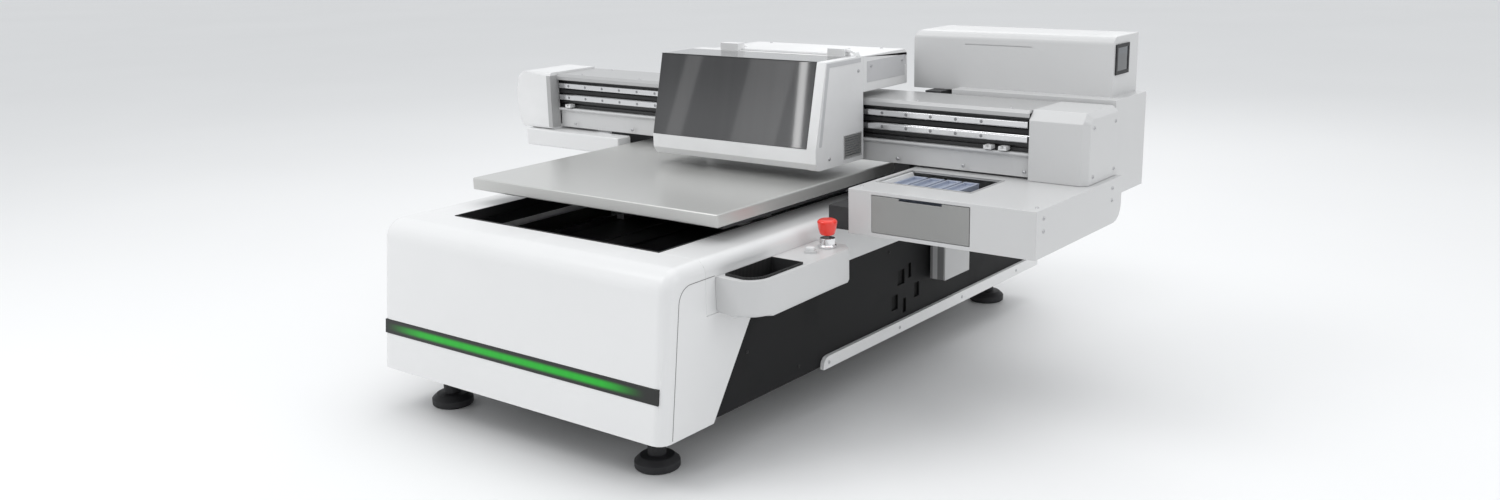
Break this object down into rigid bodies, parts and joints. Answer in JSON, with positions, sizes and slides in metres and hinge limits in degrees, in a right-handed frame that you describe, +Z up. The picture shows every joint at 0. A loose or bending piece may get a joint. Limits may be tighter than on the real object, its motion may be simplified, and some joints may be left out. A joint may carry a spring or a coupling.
{
  "type": "flatbed uv printer",
  "caption": "Floor-standing flatbed UV printer: sliding table on a low base, a cross beam with a lifting print carriage, a hinged visor, a capping station and a side tray.",
  "frame": {"origin": "floor level, at the centre of the bounding box seen from above", "axes": "+X to the right of someone facing the machine, along the gantry beam; +Y from front to back; +Z up"},
  "size_m": [1.618, 1.525, 0.765],
  "materials": {
    "white_paint": "satin white powder coat",
    "grey_white_paint": "satin light grey powder coat",
    "black_paint": "matt black powder coat",
    "frame_paint": "dark grey paint",
    "table_aluminium": "anodised satin grey",
    "aluminium": "extruded, satin",
    "steel": "ground rail steel",
    "chrome": "polished",
    "rubber": "matt black",
    "dark_plastic": "matt black",
    "smoked_visor": "glossy smoked grey",
    "grey_plastic": "satin mid grey",
    "white_plastic": "satin white",
    "blue_plastic": "pale blue-grey",
    "red_plastic": "glossy red",
    "green_light": "lit green diffuser"
  },
  "bodies": {
    "base": {"base_frame": "frame_paint", "beam": "aluminium", "beam_lower_plate": "grey_white_paint", "beam_top_cover": "aluminium", "display_panel": "dark_plastic", "end_housing": "grey_white_paint", "foot_front_left": "dark_plastic", "foot_front_right": "dark_plastic", "foot_rear_left": "dark_plastic", "foot_rear_right": "dark_plastic", "front_fascia": "white_paint", "gantry_upright_left": "frame_paint", "gantry_upright_right": "frame_paint", "ink_tanks": "white_plastic", "inner_deck": "black_paint", "left_end_cap": "white_paint", "left_lower_cover": "white_paint", "light_bar": "green_light", "power_inlet": "dark_plastic", "rear_panel": "black_paint", "side_panel_left": "black_paint", "side_panel_right": "black_paint", "side_tray": "grey_white_paint", "skirt_left": "white_paint", "skirt_right": "white_paint", "station_base": "aluminium", "station_housing": "grey_white_paint", "stop_collar": "chrome", "top_cover": "white_paint", "tower_housing": "grey_white_paint", "x_belt": "rubber", "x_motor": "dark_plastic", "x_rail_lower": "steel", "x_rail_upper": "steel", "y_belt": "rubber", "y_motor": "dark_plastic", "y_rail_left": "steel", "y_rail_right": "steel"},
    "table": {"table_saddle": "aluminium", "table_frame": "frame_paint", "table_top": "table_aluminium"},
    "y_drive": {"y_drive_pulley": "aluminium"},
    "y_idler": {"y_idler_pulley": "aluminium"},
    "x_drive": {"x_drive_pulley": "aluminium"},
    "x_idler": {"x_idler_pulley": "aluminium"},
    "carriage": {"x_slide_plate": "aluminium"},
    "head": {"lift_plate": "aluminium", "print_heads": "grey_plastic", "uv_lamps": "dark_plastic", "carriage_shell": "white_paint", "visor_hinge": "white_paint", "carriage_arm_cover": "white_paint"},
    "visor_cover": {"visor": "smoked_visor"},
    "flap": {"maintenance_flap": "grey_plastic"},
    "caps": {"cap_unit": "blue_plastic"},
    "wiper_blade": {"wiper": "rubber"},
    "lid": {"tower_lid": "grey_white_paint"},
    "stop_mushroom": {"stop_head": "red_plastic"},
    "start_key": {"start_button": "white_plastic"},
    "rocker": {"main_switch": "dark_plastic"}
  },
  "joints": [
    {"name": "table_slide", "type": "slide", "parent": "base", "child": "table", "axis": [0, 1, 0], "range_m": [-0.44, 0.44]},
    {"name": "y_drive_spin", "type": "hinge", "parent": "base", "child": "y_drive", "pos_m": [-0.064, 0.6625, 0.3545], "axis": [-1, 0, 0], "range_deg": [-1850, 1850]},
    {"name": "y_idler_spin", "type": "hinge", "parent": "base", "child": "y_idler", "pos_m": [-0.064, -0.6825, 0.3545], "axis": [-1, 0, 0], "range_deg": [-1850, 1850]},
    {"name": "carriage_slide", "type": "slide", "parent": "base", "child": "carriage", "axis": [1, 0, 0], "range_m": [-0.5, 0.36]},
    {"name": "x_drive_spin", "type": "hinge", "parent": "base", "child": "x_drive", "pos_m": [0.736, 0.034, 0.587], "axis": [0, 0, 1], "range_deg": [-2260, 1640]},
    {"name": "x_idler_spin", "type": "hinge", "parent": "base", "child": "x_idler", "pos_m": [-0.744, 0.034, 0.587], "axis": [0, 0, 1], "range_deg": [-2260, 1640]},
    {"name": "head_lift", "type": "slide", "parent": "carriage", "child": "head", "axis": [0, 0, 1], "range_m": [0, 0.09]},
    {"name": "visor_hinge_turn", "type": "hinge", "parent": "head", "child": "visor_cover", "pos_m": [-0.064, -0.0235, 0.73], "axis": [-1, 0, 0], "range_deg": [0, 95]},
    {"name": "flap_hinge", "type": "hinge", "parent": "base", "child": "flap", "pos_m": [0.562, -0.2375, 0.405], "axis": [1, 0, 0], "range_deg": [0, 90]},
    {"name": "cap_lift", "type": "slide", "parent": "base", "child": "caps", "axis": [0, 0, 1], "range_m": [0, 0.009]},
    {"name": "wiper_slide", "type": "slide", "parent": "base", "child": "wiper_blade", "axis": [0, 1, 0], "range_m": [0, 0.08]},
    {"name": "lid_hinge", "type": "hinge", "parent": "base", "child": "lid", "pos_m": [0.529, 0.3155, 0.765], "axis": [-1, 0, 0], "range_deg": [0, 80]},
    {"name": "stop_press", "type": "slide", "parent": "base", "child": "stop_mushroom", "axis": [0, 0, -1], "range_m": [0, 0.005], "stiffness_N_per_m": 800},
    {"name": "start_press", "type": "slide", "parent": "base", "child": "start_key", "axis": [0, 0, -1], "range_m": [0, 0.0025], "stiffness_N_per_m": 400},
    {"name": "switch_rock", "type": "hinge", "parent": "base", "child": "rocker", "pos_m": [0.236, 0.7555, 0.18], "axis": [1, 0, 0], "range_deg": [-6, 6]}
  ],
  "couplings": [
    {"joint": "y_drive_spin", "follows": "table_slide", "rad_per_m": 72.727},
    {"joint": "y_idler_spin", "follows": "table_slide", "rad_per_m": 72.727},
    {"joint": "x_drive_spin", "follows": "carriage_slide", "rad_per_m": 78.431},
    {"joint": "x_idler_spin", "follows": "carriage_slide", "rad_per_m": 78.431}
  ]
}
